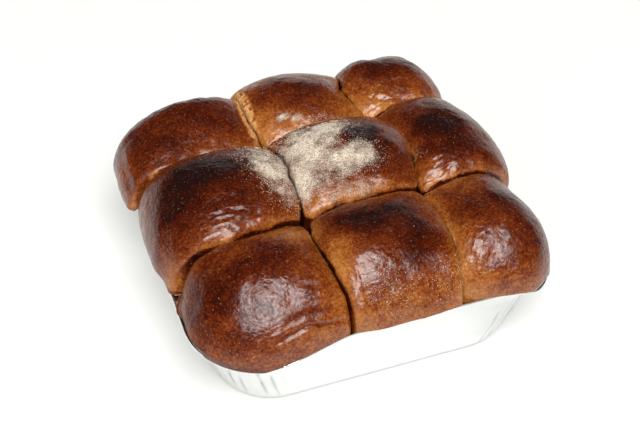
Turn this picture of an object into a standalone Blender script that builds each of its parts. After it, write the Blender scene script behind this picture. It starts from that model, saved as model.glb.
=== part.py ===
# Pull-apart bread: nine soft rolls, three by three, baked together in a square foil pan.
# Metres, +Z up. The origin is the middle of the pan's flat base, and the front is at -Y.

import math

import bmesh
import bpy
import numpy as np

MM = 0.001

# The pan, as half widths of its square outline
BASE_HALF = 85.0 * MM            # where the wall starts, above the rounded foot
BASE_RADIUS = 33.0 * MM
WALL_HALF = 94.5 * MM            # inside the flange, at the top of the wall
WALL_RADIUS = 34.0 * MM
RIM_HALF = 101.5 * MM
PAN_DEPTH = 43.5 * MM            # base to the top of the flange
EDGE_HEIGHT = 1.7 * MM           # the upturned edge round the flange, where it lies flat
FOOT_ROUND = 3.0 * MM
FOIL = 0.5 * MM
FLUTES_PER_CORNER = 9
FLUTE_STEPS = 3                  # points to a flute
FLUTE_DEPTH = 0.7 * MM
STEPS_PER_SIDE = 9               # points along each straight wall
# Along the front the flange is bent up against the bread, between these directions from the
# middle of the pan, in degrees: it starts to rise, is fully up, starts to fall, lies flat again
FLANGE_LIFT = 78.0
LIFT_SPAN = (-134.0, -100.0, -57.0, -45.0)

# The loaf
LOAF_HALF = 101.0 * MM           # the square that the nine rolls are laid out in
SEAM_X = (-27.5 * MM, 40.0 * MM)
SEAM_Y = (-30.0 * MM, 36.5 * MM)
ROLL_GAP = 0.3 * MM              # between neighbours, and between bread and foil
GIRTH = 50.5                     # usual height at which the rolls are widest, in mm
SEAM_SWELL = 1.52                # how far past its seams a roll would rise if it stood alone
DOME_POWER = 1.05
SEAM_SQUARE = 16.0               # exponent that squares a roll off against its seams
CREASE_SOFT = 22.0               # exponent of the soft edge between dome and seam
INNER_SQUARE = 3.6               # squareness of a roll between two seams
POINTS_PER_SIDE = 9
DOME_STEPS = 8
LIP_STEPS = 3
LIP_POWER = 2.0                  # how quickly the underside of the lip lifts off the flange

# Each seam leans by tilt, and bends sideways by the amounts given at places along it
BEND_WIDTH = 24.0 * MM
SEAM_REACH = 32.0 * MM
SEAM_X_BENDS = (
    {"tilt": -0.05, "bends": ((12 * MM, 3.5 * MM), (-58 * MM, -3 * MM))},
    {"tilt": -0.02, "bends": ((8 * MM, 8 * MM), (64 * MM, -7 * MM), (-95 * MM, -5 * MM))},
)
SEAM_Y_BENDS = (
    {"tilt": 0.045, "bends": ((-72 * MM, -5 * MM),)},
    {"tilt": 0.065, "bends": ((62 * MM, 5 * MM), (95 * MM, 4 * MM), (-95 * MM, 3 * MM))},
)

# Rolls by row and column: heights of crown and girth in mm, squareness at the girth of the
# quarters that meet a seam and of the quarter at the loaf's own corner
ROLLS = {
    "roll_front_left": {"row": 0, "column": 0, "crown": 84.0, "girth": GIRTH,
                        "edge": 2.2, "corner": 1.9},
    "roll_front_middle": {"row": 0, "column": 1, "crown": 86.0, "girth": 53.0,
                          "edge": 4.5, "corner": 2.0},
    "roll_front_right": {"row": 0, "column": 2, "crown": 83.0, "girth": 52.5,
                         "edge": 2.1, "corner": 2.05},
    "roll_middle_left": {"row": 1, "column": 0, "crown": 89.0, "girth": GIRTH,
                         "edge": 2.8, "corner": 2.0},
    "roll_centre": {"row": 1, "column": 1, "crown": 91.5, "girth": GIRTH,
                    "edge": 3.6, "corner": 2.0},
    "roll_middle_right": {"row": 1, "column": 2, "crown": 86.0, "girth": GIRTH,
                          "edge": 2.1, "corner": 2.0},
    "roll_back_left": {"row": 2, "column": 0, "crown": 82.5, "girth": GIRTH,
                       "edge": 4.5, "corner": 2.05},
    "roll_back_middle": {"row": 2, "column": 1, "crown": 85.5, "girth": GIRTH,
                         "edge": 2.1, "corner": 2.0},
    "roll_back_right": {"row": 2, "column": 2, "crown": 84.0, "girth": GIRTH,
                        "edge": 2.4, "corner": 2.05},
}
# How far the girth stands out past the layout square, by row for the sides and by column
LEFT_REACH = (1.0, 6.0, 8.5)
RIGHT_REACH = (-2.5, 6.0, -3.0)
FRONT_REACH = (0.5, -4.5, -4.5)
BACK_REACH = (-7.0, 8.0, 5.0)


def clear_scene():
    for item in list(bpy.data.objects):
        bpy.data.objects.remove(item, do_unlink=True)


def make_material(name, colour, roughness, metallic):
    material = bpy.data.materials.new(name)
    material.use_nodes = True
    shader = material.node_tree.nodes["Principled BSDF"]
    shader.inputs["Base Color"].default_value = (*colour, 1.0)
    shader.inputs["Roughness"].default_value = roughness
    shader.inputs["Metallic"].default_value = metallic
    material.diffuse_color = (*colour, 1.0)
    return material


def closed_skin(name, rings, material):
    """A closed mesh from rings of equal length, each end closed by one flat face or a fan."""
    bm = bmesh.new()
    loops = [[bm.verts.new(point) for point in ring] for ring in rings]
    for lower, upper in zip(loops[:-1], loops[1:]):
        fan = len(lower) == 1 or len(upper) == 1
        count = max(len(lower), len(upper))
        for k in range(count):
            after = (k + 1) % count
            if not fan:
                bm.faces.new((lower[k], lower[after], upper[after], upper[k]))
            elif len(lower) == 1:
                bm.faces.new((lower[0], upper[after], upper[k]))
            else:
                bm.faces.new((lower[k], lower[after], upper[0]))
    for loop in (loops[0], loops[-1]):
        if len(loop) > 2:
            bm.faces.new(loop)
    bmesh.ops.recalc_face_normals(bm, faces=bm.faces)
    bmesh.ops.triangulate(bm, faces=[face for face in bm.faces if len(face.verts) > 4])
    mesh = bpy.data.meshes.new(name)
    bm.to_mesh(mesh)
    bm.free()
    mesh.materials.append(material)
    mesh.shade_smooth()
    mesh.set_sharp_from_angle(angle=math.radians(50))
    piece = bpy.data.objects.new(name, mesh)
    bpy.context.scene.collection.objects.link(piece)
    return piece


# ---- the foil pan ----

def smooth_step(low, high, value):
    share = np.clip((value - low) / (high - low), 0.0, 1.0)
    return share * share * (3 - 2 * share)


def flange_lift(x, y):
    """Angle that the flange is bent up by, at this direction from the middle of the pan."""
    start, up, down, end = LIFT_SPAN
    direction = np.degrees(np.arctan2(y, x))
    share = smooth_step(start, up, direction) * smooth_step(end, down, direction)
    return math.radians(FLANGE_LIFT) * share


def square_ring(half, radius, height, flute=0.0, flange=None):
    """Points round a square with rounded corners; flute pushes the corners out in waves.

    With flange = (along, above), a point is measured from the ring on the flange, which is
    bent up by its own angle there.
    """
    steps = FLUTES_PER_CORNER * FLUTE_STEPS
    spots = []
    for quarter in range(4):
        turn = quarter * math.pi / 2
        centre_x = (half - radius) * math.copysign(1, math.cos(turn + math.pi / 4))
        centre_y = (half - radius) * math.copysign(1, math.sin(turn + math.pi / 4))
        for step in range(steps + 1):
            share = step / steps
            wave = 0.5 - 0.5 * math.cos(2 * math.pi * share * FLUTES_PER_CORNER)
            spots.append((centre_x, centre_y, turn + share * math.pi / 2, flute * wave))
        ahead_x = (half - radius) * math.copysign(1, math.cos(turn + 3 * math.pi / 4))
        ahead_y = (half - radius) * math.copysign(1, math.sin(turn + 3 * math.pi / 4))
        for step in range(1, STEPS_PER_SIDE + 1):
            share = step / (STEPS_PER_SIDE + 1)
            spots.append((centre_x + (ahead_x - centre_x) * share,
                          centre_y + (ahead_y - centre_y) * share, turn + math.pi / 2, 0.0))
    points = []
    for centre_x, centre_y, angle, wave in spots:
        reach = radius + wave
        rise = 0.0
        if flange:
            along, above = flange
            x = centre_x + radius * math.cos(angle)
            y = centre_y + radius * math.sin(angle)
            lift = float(flange_lift(x, y))
            if above > 0:
                above *= math.cos(lift) ** 6
            reach += along * math.cos(lift) - above * math.sin(lift)
            rise = along * math.sin(lift) + above * math.cos(lift)
        points.append((centre_x + reach * math.cos(angle), centre_y + reach * math.sin(angle),
                       height + rise))
    return points


def wall_half(height):
    return BASE_HALF + (WALL_HALF - BASE_HALF) * height / PAN_DEPTH


def wall_radius(height):
    return BASE_RADIUS + (WALL_RADIUS - BASE_RADIUS) * height / PAN_DEPTH


def pan_rings():
    """The foil's section, from under the base, up the outside, over the edge and down inside."""
    bevel = FOOT_ROUND * (1 - math.cos(math.pi / 4))
    middle = 0.5 * PAN_DEPTH
    width = RIM_HALF - WALL_HALF + FOIL
    hinge = (WALL_HALF - FOIL, WALL_RADIUS - FOIL, PAN_DEPTH, 0.0)
    outside = [
        (wall_half(0) - FOOT_ROUND, BASE_RADIUS - FOOT_ROUND, 0),
        (wall_half(0) - bevel, BASE_RADIUS - bevel, bevel),
        (wall_half(FOOT_ROUND), wall_radius(FOOT_ROUND), FOOT_ROUND, 0.3 * FLUTE_DEPTH),
        (wall_half(middle), wall_radius(middle), middle, FLUTE_DEPTH),
        (WALL_HALF, WALL_RADIUS, PAN_DEPTH - FOIL, FLUTE_DEPTH),
        (*hinge, (width, -FOIL)),
        (*hinge, (width + FOIL, EDGE_HEIGHT)),
    ]
    inside = [
        (*hinge, (width, EDGE_HEIGHT)),
        (*hinge, (width - FOIL, 0.0)),
        (WALL_HALF - FOIL, WALL_RADIUS - FOIL, PAN_DEPTH, FLUTE_DEPTH),
        (wall_half(middle) - FOIL, wall_radius(middle) - FOIL, middle, FLUTE_DEPTH),
        (wall_half(FOOT_ROUND) - FOIL, wall_radius(FOOT_ROUND) - FOIL, FOOT_ROUND + FOIL,
         0.3 * FLUTE_DEPTH),
        (wall_half(0) - bevel - FOIL, BASE_RADIUS - bevel - FOIL, bevel + FOIL),
        (wall_half(0) - FOOT_ROUND, BASE_RADIUS - FOOT_ROUND, FOIL),
    ]
    return [square_ring(*station) for station in outside + inside]


# ---- the rolls ----

def soft_min(a, b):
    return (a ** -CREASE_SOFT + b ** -CREASE_SOFT) ** (-1 / CREASE_SOFT)


def keep_in_pan(x, y, half, radius):
    """Points outside a rounded square are moved straight in to its outline."""
    over_x = np.abs(x) - (half - radius)
    over_y = np.abs(y) - (half - radius)
    corner = (over_x > 0) & (over_y > 0)
    distance = np.maximum(np.hypot(over_x, over_y), 1e-9)
    shrink = np.minimum(radius / distance, 1.0)
    new_x = np.where(corner, over_x * shrink, np.minimum(over_x, radius))
    new_y = np.where(corner, over_y * shrink, np.minimum(over_y, radius))
    return np.sign(x) * (half - radius + new_x), np.sign(y) * (half - radius + new_y)


def behind_flange(x, y, height):
    """Points below the top of the bent-up flange stay on its inner side."""
    lift = np.maximum(flange_lift(x, y), 1e-6)
    rise = height - PAN_DEPTH
    top = (RIM_HALF - WALL_HALF + 2 * FOIL) * np.sin(lift) + 4 * ROLL_GAP
    inner = WALL_HALF - FOIL - 3 * ROLL_GAP + rise / np.tan(lift)
    half = np.where(rise < top, inner, 2 * RIM_HALF)
    return keep_in_pan(x, y, half, half - WALL_HALF + WALL_RADIUS)


def bend_seams(x, y):
    """Carry the points beside each straight seam to the bent seam."""
    shift_x = np.zeros_like(x)
    shift_y = np.zeros_like(y)
    for seam, lie in zip(SEAM_X, SEAM_X_BENDS):
        offset = lie["tilt"] * y
        for place, amount in lie["bends"]:
            offset = offset + amount * np.exp(-((y - place) / BEND_WIDTH) ** 2)
        shift_x += offset * np.exp(-((x - seam) / SEAM_REACH) ** 2)
    for seam, lie in zip(SEAM_Y, SEAM_Y_BENDS):
        offset = lie["tilt"] * x
        for place, amount in lie["bends"]:
            offset = offset + amount * np.exp(-((x - place) / BEND_WIDTH) ** 2)
        shift_y += offset * np.exp(-((y - seam) / SEAM_REACH) ** 2)
    return x + shift_x, y + shift_y


def roll_rings(row, column, crown, girth, edge, corner):
    """Rings of one roll from its crown, out to the girth, in under the lip and down the pan."""
    edges_x = (-LOAF_HALF, *SEAM_X, LOAF_HALF)
    edges_y = (-LOAF_HALF, *SEAM_Y, LOAF_HALF)
    centre_x = (edges_x[column] + edges_x[column + 1]) / 2
    centre_y = (edges_y[row] + edges_y[row + 1]) / 2
    half_x = (edges_x[column + 1] - edges_x[column]) / 2
    half_y = (edges_y[row + 1] - edges_y[row]) / 2

    # rays through points spaced evenly along the roll's own sides
    even = np.arange(POINTS_PER_SIDE) / POINTS_PER_SIDE * 2 - 1
    ones = np.ones(POINTS_PER_SIDE)
    side_x = np.concatenate((ones, -even, -ones, even)) * half_x
    side_y = np.concatenate((even, ones, -even, -ones)) * half_y
    length = np.hypot(side_x, side_y)
    ray_x = side_x / length
    ray_y = side_y / length

    # sides in the order left, right, front, back
    toward = np.maximum(np.array((-ray_x, ray_x, -ray_y, ray_y)), 1e-9)
    seamed = (column > 0, column < 2, row > 0, row < 2)
    to_side = (half_x, half_x, half_y, half_y)
    reach = (LEFT_REACH[row], RIGHT_REACH[row], FRONT_REACH[column], BACK_REACH[column])
    natural = np.array([far * SEAM_SWELL if seam else far + out * MM
                        for far, seam, out in zip(to_side, seamed, reach)])[:, None]
    cell = np.array(to_side)[:, None] - ROLL_GAP / 2
    wall_side = (toward / cell) ** SEAM_SQUARE
    boxed = wall_side.sum(axis=0) ** (-1 / SEAM_SQUARE)
    seam_side = (wall_side * np.array(seamed)[:, None]).sum(axis=0)
    to_seam = np.maximum(seam_side, 1e-30) ** (-1 / SEAM_SQUARE)

    # squareness of each quarter of the roll at its girth
    seam_to_side = np.where(ray_x > 0, seamed[1], seamed[0])
    seam_to_end = np.where(ray_y > 0, seamed[3], seamed[2])
    girth_square = np.where(seam_to_side & seam_to_end, INNER_SQUARE,
                            np.where(seam_to_side | seam_to_end, edge, corner))

    def natural_reach(square):
        return ((toward / natural) ** square).sum(axis=0) ** (-1 / square)

    def spread(out, limit=None):
        x = centre_x + out * ray_x
        y = centre_y + out * ray_y
        if limit:
            x, y = keep_in_pan(x, y, *limit)
            return keep_in_pan(*bend_seams(x, y), *limit)
        return bend_seams(x, y)

    stations = []
    for step in range(1, DOME_STEPS + 1):
        fall = step / DOME_STEPS * math.pi / 2
        square = 2.0 + (girth_square - 2.0) * math.sin(fall)
        out = soft_min(natural_reach(square) * math.sin(fall) ** DOME_POWER, to_seam)
        rise = max(math.cos(fall), 0.0) ** DOME_POWER
        height = (girth + (crown - girth) * rise) * MM
        stations.append((*behind_flange(*spread(out), height), height))
    girth_x, girth_y, _ = stations[-1]
    shelf = PAN_DEPTH + 2 * ROLL_GAP
    mouth = (WALL_HALF - FOIL - 2 * ROLL_GAP, WALL_RADIUS - FOIL)
    tucked_x, tucked_y = spread(np.minimum(out, boxed), mouth)
    for step in range(1, LIP_STEPS + 1):
        turn = step / LIP_STEPS * math.pi / 2
        x = tucked_x + (girth_x - tucked_x) * math.cos(turn)
        y = tucked_y + (girth_y - tucked_y) * math.cos(turn)
        height = girth * MM + (shelf - girth * MM) * math.sin(turn) ** LIP_POWER
        stations.append((*behind_flange(x, y, height), height))
    for share in (0.96, 0.5, 0.1, 0.0):
        height = max(share * PAN_DEPTH, FOIL + ROLL_GAP)
        foot = FOOT_ROUND if share == 0.0 else 0.0
        half = wall_half(height) - foot - FOIL - 2 * ROLL_GAP
        stations.append((*spread(boxed, (half, wall_radius(height) - foot - FOIL)), height))

    middle_x, middle_y = bend_seams(np.array([centre_x]), np.array([centre_y]))
    rings = [[(float(middle_x[0]), float(middle_y[0]), crown * MM)]]
    for x, y, height in stations:
        rings.append([(float(a), float(b), height) for a, b in zip(x, y)])
    return rings


def main():
    clear_scene()
    crust = make_material("crust", (0.19, 0.062, 0.022), 0.38, 0.0)
    foil = make_material("foil", (0.86, 0.87, 0.88), 0.28, 1.0)
    closed_skin("foil_pan", pan_rings(), foil)
    for name, sizes in ROLLS.items():
        closed_skin(name, roll_rings(**sizes), crust)


main()
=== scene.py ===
import math
import bpy
import numpy as np
from mathutils import Matrix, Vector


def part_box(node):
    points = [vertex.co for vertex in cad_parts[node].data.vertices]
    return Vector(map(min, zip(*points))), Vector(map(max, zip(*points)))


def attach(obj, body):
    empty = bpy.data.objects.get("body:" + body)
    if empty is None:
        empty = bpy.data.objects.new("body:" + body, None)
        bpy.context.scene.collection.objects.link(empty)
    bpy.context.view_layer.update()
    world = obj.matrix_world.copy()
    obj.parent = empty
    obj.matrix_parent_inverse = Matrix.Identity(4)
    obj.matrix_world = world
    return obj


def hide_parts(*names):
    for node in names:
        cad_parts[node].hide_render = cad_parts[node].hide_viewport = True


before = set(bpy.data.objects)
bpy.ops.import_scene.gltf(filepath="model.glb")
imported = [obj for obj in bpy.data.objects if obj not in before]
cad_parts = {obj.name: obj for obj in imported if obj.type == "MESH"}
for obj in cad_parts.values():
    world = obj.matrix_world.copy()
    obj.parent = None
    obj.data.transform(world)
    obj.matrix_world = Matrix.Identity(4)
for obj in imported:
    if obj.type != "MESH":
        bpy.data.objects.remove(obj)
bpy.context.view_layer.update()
mm = 0.001
print("frame loaded, nodes:", len(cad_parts))


# shape tools that every piece shares
noiseTable = np.random.default_rng(11).random((48, 48, 48)) * 2 - 1


def softNoise(points, size, shift=0.0):
    # random numbers on a 3D lattice of cells, blended by a smooth step between them
    place = points / size + shift
    cell = np.floor(place).astype(int)
    share = place - cell
    share = share * share * (3 - 2 * share)
    total = np.zeros(points.shape[:-1])
    for corner in np.ndindex(2, 2, 2):
        index = (cell + corner) % 48
        weight = np.prod(np.where(corner, share, 1 - share), axis=-1)
        total += weight * noiseTable[index[..., 0], index[..., 1], index[..., 2]]
    return total


def layeredNoise(points, size, layers, shift=0.0):
    # a sum of soft noises, each half the size and half the weight of the one before
    total = 0
    for layer in range(layers):
        total = total + softNoise(points, size / 2 ** layer, shift + 7.3 * layer) / 2 ** layer
    return total


def smoothStep(low, high, value):
    # 0 up to low and 1 from high on, with a cubic between them
    share = np.clip((value - low) / (high - low), 0, 1)
    return share * share * (3 - 2 * share)


def surfaceNormals(points):
    # cross product of the steps down the rows and round the ring
    down = np.gradient(points, axis=0)
    around = np.roll(points, -1, axis=1) - np.roll(points, 1, axis=1)
    normals = np.cross(down, around)
    return normals / np.maximum(np.linalg.norm(normals, axis=-1, keepdims=True), 1e-12)


def ringFaces(rows, count):
    # quads between closed rings, and a fan to one point at each end
    ring = np.arange(count)
    after = (ring + 1) % count
    start = 1 + np.arange(rows - 1)[:, None] * count
    quads = np.stack((start + ring, start + count + ring, start + count + after, start + after), -1)
    last = 1 + (rows - 1) * count
    top = np.stack((np.zeros_like(ring), 1 + ring, 1 + after), -1)
    bottom = np.stack((np.full_like(ring, last + count), last + after, last + ring), -1)
    return quads.reshape(-1, 4).tolist() + top.tolist() + bottom.tolist()


def newObject(name, data):
    # an object that shows this data, in the scene
    thing = bpy.data.objects.new(name, data)
    bpy.context.scene.collection.objects.link(thing)
    return thing


def buildPiece(name, vertices, faces, material, fields=None):
    # one mesh with its material, its point fields and its place on the body
    mesh = bpy.data.meshes.new(name)
    mesh.from_pydata(vertices.tolist(), [], faces)
    for fieldName, values in (fields or {}).items():
        layer = mesh.attributes.new(fieldName, "FLOAT", "POINT")
        layer.data.foreach_set("value", np.ascontiguousarray(values, dtype=np.float32))
    mesh.materials.append(material)
    mesh.shade_smooth()
    mesh.update()
    piece = newObject(name, mesh)
    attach(piece, "root")
    return piece


def fillInputs(tree, node, inputs):
    # another node's output is linked to its socket, a number or a colour is set on it
    for key, value in inputs.items():
        socket = node.inputs[key]
        if isinstance(value, bpy.types.NodeSocket):
            tree.links.new(value, socket)
        elif socket.type == "RGBA":
            socket.default_value = (*value, 1.0)
        else:
            socket.default_value = value


def addNode(tree, kind, inputs, settings=None):
    # a shader node with its inputs filled and its settings made
    node = tree.nodes.new(kind)
    for key, value in (settings or {}).items():
        setattr(node, key, value)
    fillInputs(tree, node, inputs)
    return node


def newMaterial(name):
    # a material with its node tree and its one shader
    material = bpy.data.materials.new(name)
    material.use_nodes = True
    tree = material.node_tree
    return material, tree, tree.nodes["Principled BSDF"]


def noiseNode(tree, scale, detail=2.0, roughness=0.5, stretch=None, distortion=0.0):
    # a noise on the piece's own coordinates, stretched where asked
    place = addNode(tree, "ShaderNodeTexCoord", {}).outputs["Object"]
    if stretch:
        mapping = addNode(tree, "ShaderNodeMapping", {"Vector": place, "Scale": stretch})
        place = mapping.outputs["Vector"]
    inputs = {"Vector": place, "Scale": scale, "Detail": detail, "Roughness": roughness}
    noise = addNode(tree, "ShaderNodeTexNoise", {**inputs, "Distortion": distortion})
    return noise.outputs["Fac"]


def mathNode(tree, operation, *values, clamp=False):
    # each value is a number or another node's output
    settings = {"operation": operation, "use_clamp": clamp}
    return addNode(tree, "ShaderNodeMath", dict(enumerate(values)), settings).outputs["Value"]


def rangeNode(tree, value, fromLow, fromHigh, toLow, toHigh, curve="LINEAR"):
    # carries one range over to another, in a straight line or by a smooth step
    ends = {"From Min": fromLow, "From Max": fromHigh, "To Min": toLow, "To Max": toHigh}
    settings = {"interpolation_type": curve}
    return addNode(tree, "ShaderNodeMapRange", {"Value": value, **ends}, settings).outputs["Result"]


def mixColours(tree, share, first, second):
    # the first colour where the share is 0, the second where it is 1
    return addNode(tree, "ShaderNodeMix", {0: share, 6: first, 7: second}, {"data_type": "RGBA"}).outputs[2]


def bumpNode(tree, height, strength, distance, under=None):
    # a normal tilted by the slope of a height, on top of another one where given
    inputs = {"Height": height, "Strength": strength, "Distance": distance}
    if under is not None:
        inputs["Normal"] = under
    return addNode(tree, "ShaderNodeBump", inputs).outputs["Normal"]


def fieldNode(tree, name):
    # a field that buildPiece stored on the mesh
    return addNode(tree, "ShaderNodeAttribute", {}, {"attribute_name": name}).outputs["Fac"]


# The crust's material
crust = {
    # its colour from torn crumb to the darkest crown
    "browning": (
        (0.00, (0.50, 0.29, 0.105)),
        (0.15, (0.375, 0.150, 0.034)),
        (0.35, (0.252, 0.078, 0.0125)),
        (0.55, (0.124, 0.0215, 0.0022)),
        (0.75, (0.050, 0.0052, 0.0010)),
        (0.90, (0.023, 0.0030, 0.0010)),
        (1.00, (0.011, 0.0030, 0.0026)),
    ),
    "branDepth": 0.165,  # how strongly bran and blotches mottle the browning
    "blotchDepth": 0.055,
    "paleSpeck": (0.50, 0.29, 0.13), "speckShare": 0.55,
    "flourPale": (0.68, 0.62, 0.52), "flourTan": (0.30, 0.20, 0.11),
    # flour shows where its painted share, its clots and its strands add up to more than its start
    "flourWeight": 0.80, "clotWeight": 0.35, "strandWeight": 1.25,
    "flourStart": 1.26, "flourFull": 1.62, "flourCover": 0.90,
    "gloss": 0.215,  # roughness of the glazed crust
    "glossVary": (-0.05, 0.10),
    "matt": 0.85,  # roughness of flour and torn crumb
    "mirror": 0.5, "burntMirror": 0.14,  # how much the glaze and the burnt crust mirror
    "refraction": 1.52,
    "skinDepth": 0.175 * mm,  # the leathery grain
    "pitDepth": 0.055 * mm,  # the finest pits
    # each noise by its scale, detail and roughness, then its stretch and distortion
    "noises": {
        "bran": (720.0, 4.0, 0.65),
        "blotch": (170.0, 4.0, 0.6),
        "speck": (1050.0, 2.0, 0.6, (1.0, 1.3, 1.0)),
        "clot": (210.0, 3.0, 0.6),
        "strand": (620.0, 4.0, 0.72, (1.0, 1.35, 1.0), 2.2),
        "fleck": (880.0, 3.0, 0.65, (1.0, 1.35, 1.0), 1.2),
        "gloss": (300.0, 3.0, 0.6),
        "skin": (560.0, 3.5, 0.62, (1.0, 1.0, 1.4), 0.6),
        "pit": (1150.0, 3.0, 0.6),
    },
}


def makeCrust():
    # browning + bran + blotches picks a colour on a ramp; flour and pale specks lie over it
    material, tree, shader = newMaterial("crust")
    noise = {name: noiseNode(tree, *values) for name, values in crust["noises"].items()}
    bran = rangeNode(tree, noise["bran"], 0.3, 0.7, -1, 1)
    blotch = rangeNode(tree, noise["blotch"], 0.3, 0.7, -1, 1)
    tone = mathNode(tree, "MULTIPLY_ADD", bran, crust["branDepth"], fieldNode(tree, "browning"))
    tone = mathNode(tree, "MULTIPLY_ADD", blotch, crust["blotchDepth"], tone)
    ramp = addNode(tree, "ShaderNodeValToRGB", {"Fac": tone})
    stops = ramp.color_ramp.elements
    while len(stops) < len(crust["browning"]):
        stops.new(0.5)
    for stop, (place, colour) in zip(stops, crust["browning"]):
        stop.position = place
        stop.color = (*colour, 1.0)

    # bran flakes show as pale specks in the darker crust
    speck = rangeNode(tree, noise["speck"], 0.65, 0.76, 0, crust["speckShare"])
    colour = mixColours(tree, speck, ramp.outputs["Color"], crust["paleSpeck"])

    # flour lies in fine clotted strands; where a patch is thin only the highest grains carry it
    grain = mathNode(tree, "MULTIPLY", noise["strand"], crust["strandWeight"])
    grain = mathNode(tree, "MULTIPLY_ADD", noise["clot"], crust["clotWeight"], grain)
    cover = mathNode(tree, "MULTIPLY_ADD", fieldNode(tree, "flour"), crust["flourWeight"], grain)
    cover = rangeNode(tree, cover, crust["flourStart"], crust["flourFull"], 0, crust["flourCover"])
    fleck = rangeNode(tree, noise["fleck"], 0.40, 0.56, 0, 1)
    powder = mixColours(tree, fleck, crust["flourTan"], crust["flourPale"])
    colour = mixColours(tree, cover, colour, powder)

    # roughness goes from the uneven glaze to matt where flour or torn crumb lies
    smoothest, roughest = (crust["gloss"] + change for change in crust["glossVary"])
    rough = rangeNode(tree, noise["gloss"], 0.3, 0.7, smoothest, roughest)
    dull = mathNode(tree, "MAXIMUM", rangeNode(tree, cover, 0.0, 0.35, 0, 1), fieldNode(tree, "crumb"))
    duller = crust["matt"] - crust["gloss"]
    rough = mathNode(tree, "MULTIPLY_ADD", dull, duller, rough, clamp=True)

    # leathery grain: warped noise drawn out sideways, then fine pits and the flour's own height
    skin = bumpNode(tree, noise["skin"], 1.0, crust["skinDepth"])
    fine = mathNode(tree, "MULTIPLY_ADD", cover, 4.0, noise["pit"])
    normal = bumpNode(tree, fine, 1.0, crust["pitDepth"], skin)

    # burnt crust, torn crumb and unglazed places mirror less than the glaze
    burnt = rangeNode(tree, tone, 0.55, 0.92, crust["mirror"], crust["burntMirror"])
    mirrored = mathNode(tree, "MULTIPLY", burnt, fieldNode(tree, "glaze"))
    fillInputs(tree, shader, {"Base Color": colour, "Roughness": rough, "Normal": normal,
                              "IOR": crust["refraction"], "Specular IOR Level": mirrored})
    return material


crustMaterial = makeCrust()

# The loaf's layout. The rolls fill a square; each is a dome that its neighbours cut off at the seams.
loaf = {
    "half": 101.0 * mm,
    "seamX": (-27.5 * mm, 40.0 * mm),
    "seamY": (-30.0 * mm, 36.5 * mm),
    "gap": 0.3 * mm,
    "overlap": 6.0 * mm,  # how far the rolls lie out on the flange
    "hang": 9.6 * mm,  # and how far where they hang over its edge, between these directions
    "hangSpans": ((-144, -139, -124, -112), (-172, -165, -157, -151), (-46, -42, -28, -20)),
    "swell": 1.52,  # how far past its seams a roll would rise if it stood alone
    "domePower": 1.05,
    "seamSquare": 16.0,
    "creaseSoft": 34.0,
    "innerSquare": 3.6,
    "raysPerSide": 64,
    "domeRows": 138,
    "lipRows": 14,
    "wallRows": 6,
    "leftReach": (1.0, 6.0, 8.5),  # how far the outer sides stand out past the square, in mm
    "rightReach": (-2.5, 6.0, -3.0),
    "frontReach": (0.5, -2.6, -2.4),
    "backReach": (-7.0, 8.0, 5.0),
    "bendWidth": 24.0 * mm,
    "bendReach": 32.0 * mm,
    # each seam leans by its first number and bends sideways by (place, amount) in mm
    "bendX": ((-0.05, ((12, 3.5), (-58, -3))), (-0.02, ((8, 8), (64, -7), (-95, -5)))),
    "bendY": ((0.045, ((-72, -5),)), (0.065, ((62, 5), (95, 4), (-95, 3)))),
    # the oval of torn crumb between the two rolls at the back left
    "tornStrip": (-30.0, 68, 4.8, 34, -3, 1.0),
    # ovals where the painted shade down in a seam begins sooner, by so many mm
    "seamShadeSpots": ((74, -29, 40, 10, 4, 2.6), (43, -8, 9, 24, 0, 1.8), (62, 40, 26, 8, 0, 2.0)),
    "jag": 0.95 * mm,  # small wandering of the seams, the same on both sides of each
    "jagSize": 8.5 * mm,
}

# The foil pan that holds the loaf: a rounded square that widens upwards to a flange
pan = {
    "baseHalf": 85.0 * mm, "baseRadius": 33.0 * mm,
    "wallHalf": 94.5 * mm, "wallRadius": 34.0 * mm,
    "rimHalf": 101.5 * mm,
    "depth": 43.5 * mm,
    "edgeHeight": 1.7 * mm,
    "foot": 3.0 * mm,
    "footGap": 0.9 * mm,
    "foil": 0.5 * mm,
    # the flange is bent up against the bread between these directions from the middle, in degrees
    "lift": 78.0,
    "liftSpan": (-134.0, -100.0, -57.0, -45.0),
    "flutes": 9, "flutePoints": 12, "fluteDepth": 0.7 * mm,
    "fluteLean": 0.55,  # how far a flute drifts round the corner on its way up, in flutes
    "straightPoints": 60,
    "dent": 0.18 * mm, "dentSize": 16 * mm,
    "colour": (0.80, 0.815, 0.81), "cloudColour": (0.74, 0.75, 0.74),
    "fluteShadeColour": (0.22, 0.25, 0.24),  # painted shade in the narrow valleys between the flutes, round the foot and on one corner
    "shadedCorner": ((84, -81, 32, 26, 45, 1.0),),  # a corner painted greyer, a painted dark reflection
    "roughness": 0.26, "scuff": (-0.01, 0.01),
    "crinkle": 0.16 * mm,
}


def seamShift(along, across, seams, shapes):
    # each seam's lean times the place along it, plus its bumps, fading with distance from the seam
    shift = np.zeros_like(along)
    for seam, (lean, bends) in zip(seams, shapes):
        offset = lean * along
        for place, amount in bends:
            offset = offset + amount * mm * np.exp(-((along - place * mm) / loaf["bendWidth"]) ** 2)
        shift += offset * np.exp(-((across - seam) / loaf["bendReach"]) ** 2)
    return shift


def bendSeams(x, y):
    # points near a straight seam shift with it, and wander a little inside the loaf
    flat = np.stack((x, y, np.zeros_like(x)), -1)
    inside = smoothStep(0, 12 * mm, 92 * mm - np.maximum(np.abs(x), np.abs(y)))
    shiftX = seamShift(y, x, loaf["seamX"], loaf["bendX"])
    shiftY = seamShift(x, y, loaf["seamY"], loaf["bendY"])
    shiftX += inside * loaf["jag"] * layeredNoise(flat, loaf["jagSize"], 2, 3.1)
    shiftY += inside * loaf["jag"] * layeredNoise(flat, loaf["jagSize"], 2, 19.7)
    return x + shiftX, y + shiftY


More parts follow.
